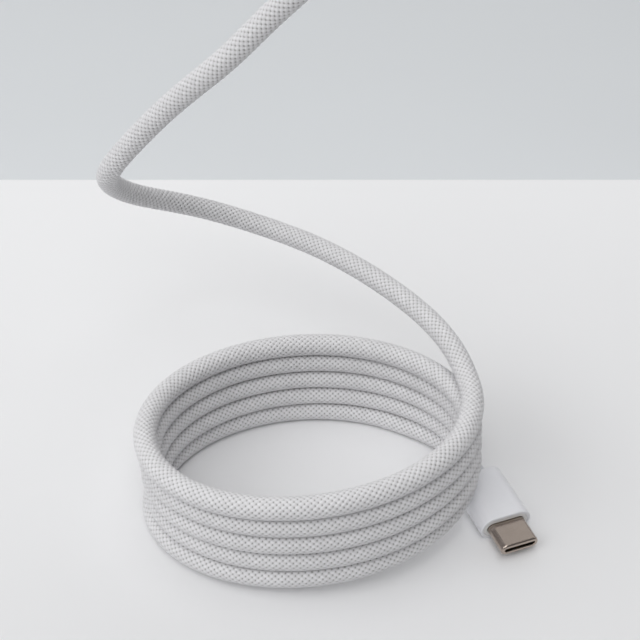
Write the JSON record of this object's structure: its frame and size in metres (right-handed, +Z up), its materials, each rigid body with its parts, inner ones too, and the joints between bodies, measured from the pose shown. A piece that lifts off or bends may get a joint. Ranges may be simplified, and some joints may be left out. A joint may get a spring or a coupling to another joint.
{
  "type": "charging cable",
  "caption": "Coiled braided charging cable with a flat reversible plug at each end, one lying under the coil and one on a lead that rises from its top turn.",
  "frame": {"origin": "centre of the near plug's length and width, at the height of the surface it lies on", "axes": "+Z up, -Y the way the near plug's metal tip points, +X to its right seen from behind the plug"},
  "size_m": [0.075, 0.0932, 0.141],
  "materials": {
    "cord_braid": "fine plain diamond braid, matte with a slight sheen",
    "housing_white": "satin moulded",
    "collar_grey": "satin moulded",
    "inner_nylon": "matte",
    "plug_metal": "polished nickel plate",
    "black_plastic": "matte",
    "spring_steel": "rolled sheet",
    "contact_gold": "gold plate",
    "board_green": "lacquered board",
    "chip_black": "moulded package",
    "ceramic_tan": "fired ceramic",
    "wire_red": "matte insulation",
    "wire_white": "matte insulation",
    "can_steel": "tin plate",
    "relief_white": "matte soft moulding"
  },
  "bodies": {
    "cable": {"cord_coil": "cord_braid", "free_lead": "cord_braid", "housing_a": "housing_white", "front_collar_a": "collar_grey", "inner_mould_a": "inner_nylon", "metal_shell_a": "plug_metal", "insulator_a": "black_plastic", "mid_plate_a": "spring_steel", "contact_tails_a": "contact_gold", "ground_springs_a": "spring_steel", "paddle_board_a": "board_green", "marker_chip_a": "chip_black", "capacitors_a": "ceramic_tan", "power_wires_a": "wire_red", "data_wires_a": "wire_white", "shield_can_a": "can_steel", "crimp_ferrule_a": "can_steel", "strain_relief_a": "relief_white", "housing_b": "housing_white", "front_collar_b": "collar_grey", "inner_mould_b": "inner_nylon", "metal_shell_b": "plug_metal", "insulator_b": "black_plastic", "mid_plate_b": "spring_steel", "contact_tails_b": "contact_gold", "ground_springs_b": "spring_steel", "paddle_board_b": "board_green", "capacitors_b": "ceramic_tan", "power_wires_b": "wire_red", "data_wires_b": "wire_white", "shield_can_b": "can_steel", "crimp_ferrule_b": "can_steel", "strain_relief_b": "relief_white"},
    "contacts_upper_a_spring": {"contacts_upper_a": "contact_gold"},
    "contacts_lower_a_spring": {"contacts_lower_a": "contact_gold"},
    "latch_right_a_spring": {"latch_right_a": "spring_steel"},
    "latch_left_a_spring": {"latch_left_a": "spring_steel"},
    "contacts_upper_b_spring": {"contacts_upper_b": "contact_gold"},
    "contacts_lower_b_spring": {"contacts_lower_b": "contact_gold"},
    "latch_right_b_spring": {"latch_right_b": "spring_steel"},
    "latch_left_b_spring": {"latch_left_b": "spring_steel"}
  },
  "joints": [
    {"name": "contacts_upper_a_flex", "type": "hinge", "parent": "cable", "child": "contacts_upper_a_spring", "pos_m": [0, -0.0068, 0.0033], "axis": [-1, 0, 0], "range_deg": [0, 1.5], "stiffness_Nm_per_rad": 0.001},
    {"name": "contacts_lower_a_flex", "type": "hinge", "parent": "cable", "child": "contacts_lower_a_spring", "pos_m": [0, -0.0068, 0.00231], "axis": [1, 0, 0], "range_deg": [0, 1.5]},
    {"name": "latch_right_a_flex", "type": "hinge", "parent": "cable", "child": "latch_right_a_spring", "pos_m": [0.00349, -0.00675, 0.0028], "axis": [0, 0, 1], "range_deg": [0, 2], "stiffness_Nm_per_rad": 0.001},
    {"name": "latch_left_a_flex", "type": "hinge", "parent": "cable", "child": "latch_left_a_spring", "pos_m": [-0.00349, -0.00675, 0.0028], "axis": [0, 0, -1], "range_deg": [0, 2]},
    {"name": "contacts_upper_b_flex", "type": "hinge", "parent": "cable", "child": "contacts_upper_b_spring", "pos_m": [-0.01102, 0.01955, 0.13494], "axis": [-0.5446, -0.8387, 0], "range_deg": [0, 1.5], "stiffness_Nm_per_rad": 0.001},
    {"name": "contacts_lower_b_flex", "type": "hinge", "parent": "cable", "child": "contacts_lower_b_spring", "pos_m": [-0.01041, 0.01915, 0.13427], "axis": [0.5446, 0.8387, 0], "range_deg": [0, 1.5]},
    {"name": "latch_right_b_flex", "type": "hinge", "parent": "cable", "child": "latch_right_b_spring", "pos_m": [-0.00884, 0.0223, 0.13457], "axis": [-0.6233, 0.4047, 0.6691], "range_deg": [0, 2], "stiffness_Nm_per_rad": 0.001},
    {"name": "latch_left_b_flex", "type": "hinge", "parent": "cable", "child": "latch_left_b_spring", "pos_m": [-0.01265, 0.01643, 0.13457], "axis": [0.6233, -0.4047, -0.6691], "range_deg": [0, 2]}
  ],
  "couplings": [
    {"joint": "contacts_lower_a_flex", "follows": "contacts_upper_a_flex", "ratio": 1},
    {"joint": "latch_left_a_flex", "follows": "latch_right_a_flex", "ratio": 1},
    {"joint": "contacts_lower_b_flex", "follows": "contacts_upper_b_flex", "ratio": 1},
    {"joint": "latch_left_b_flex", "follows": "latch_right_b_flex", "ratio": 1}
  ]
}
